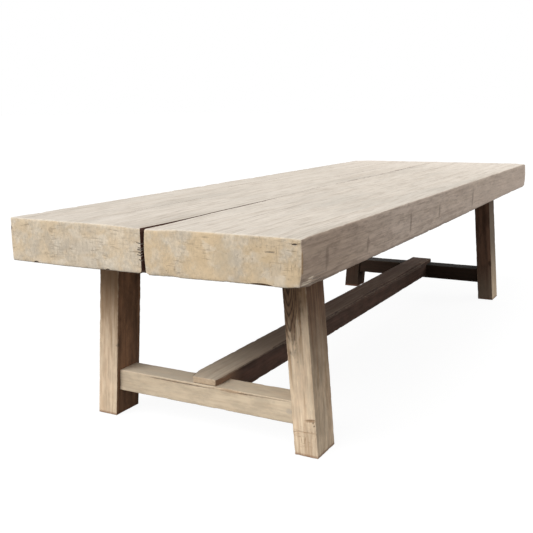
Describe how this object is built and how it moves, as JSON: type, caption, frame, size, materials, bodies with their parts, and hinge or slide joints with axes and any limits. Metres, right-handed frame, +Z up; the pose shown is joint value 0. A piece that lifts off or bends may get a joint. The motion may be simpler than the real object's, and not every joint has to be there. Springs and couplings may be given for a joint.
{
  "type": "refectory table",
  "caption": "Long heavy timber refectory table: thick slabs with an open joint between them, on splayed end frames tied by a low lapped stretcher.",
  "frame": {"origin": "on the floor under the middle of the top", "axes": "+X along the table's length, +Y across it, +Z up from the floor"},
  "size_m": [3.075, 1.09, 0.772],
  "materials": {
    "slab_timber": "bleached and weathered, dry, no varnish",
    "leg_timber": "scrubbed softwood, pale at the foot and brown towards the top",
    "rail_timber": "scrubbed softwood with splits and knots",
    "stretcher_timber": "dark weathered softwood, paler on its upper face",
    "peg_oak": "cleft oak",
    "screw_steel": "dull zinc plating"
  },
  "bodies": {
    "root": {"front_slab": "slab_timber", "back_slab": "slab_timber", "front_left_leg": "leg_timber", "back_left_leg": "leg_timber", "front_right_leg": "leg_timber", "back_right_leg": "leg_timber", "left_rail": "rail_timber", "right_rail": "rail_timber", "left_bearer": "rail_timber", "right_bearer": "rail_timber", "stretcher": "stretcher_timber", "left_rail_pegs": "peg_oak", "right_rail_pegs": "peg_oak", "left_bearer_pegs": "peg_oak", "right_bearer_pegs": "peg_oak", "left_bearer_screws": "screw_steel", "right_bearer_screws": "screw_steel", "left_bearer_washers": "screw_steel", "right_bearer_washers": "screw_steel", "left_lap_screws": "screw_steel", "right_lap_screws": "screw_steel"}
  },
  "joints": []
}
